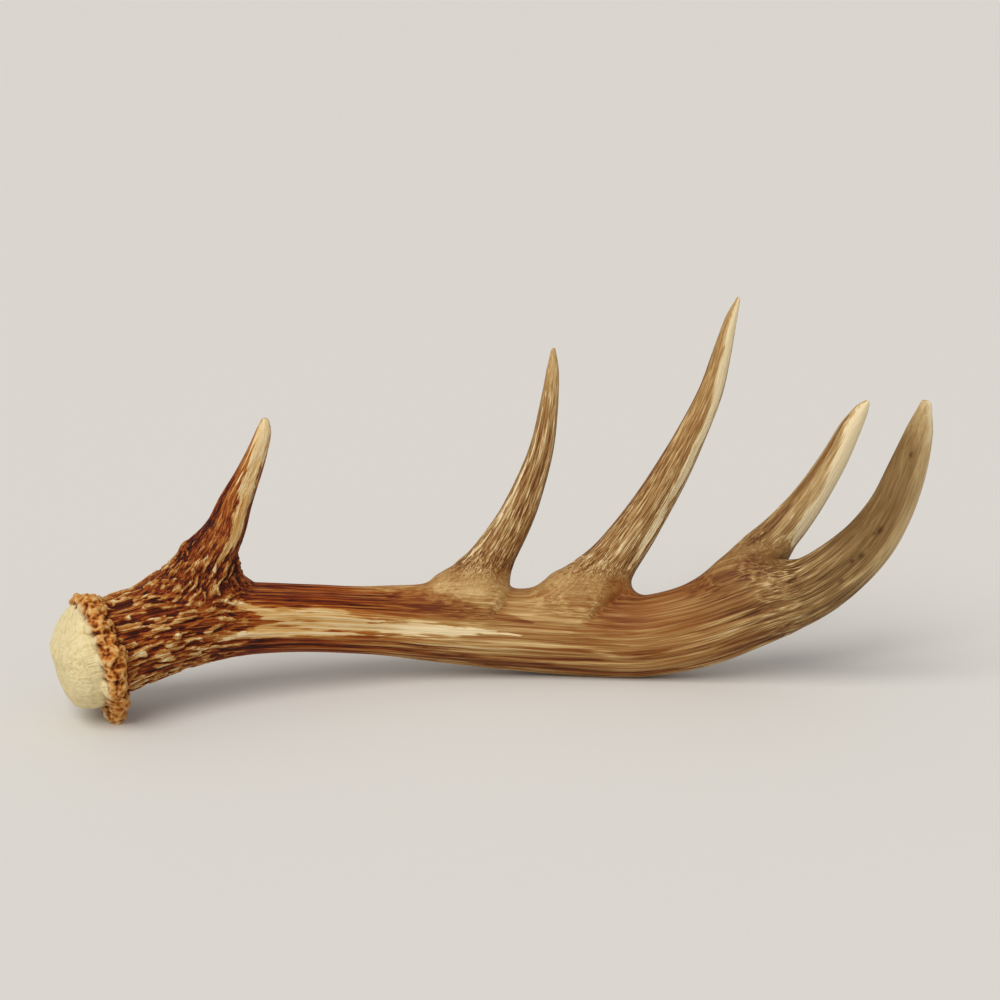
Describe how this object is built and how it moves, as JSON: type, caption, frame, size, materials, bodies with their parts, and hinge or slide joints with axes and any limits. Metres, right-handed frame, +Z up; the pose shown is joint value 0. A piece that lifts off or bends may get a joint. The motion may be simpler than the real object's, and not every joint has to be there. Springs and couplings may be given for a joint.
{
  "type": "whitetail deer antler shed",
  "caption": "Shed deer antler: curved main beam with a knobbly burr and domed pale base, a brow tine near the burr and upright tines along the beam to its pointed tip.",
  "frame": {"origin": "on the surface the antler lies on, under the middle of its bounding box", "axes": "+X along the beam from the burr towards the tip, +Y away from the side the picture shows, +Z up"},
  "size_m": [0.4145, 0.1285, 0.1848],
  "materials": {
    "antler": "satin"
  },
  "bodies": {
    "root": {"main_beam": "antler", "brow_tine": "antler", "second_tine": "antler", "third_tine": "antler", "fourth_tine": "antler"}
  },
  "joints": []
}
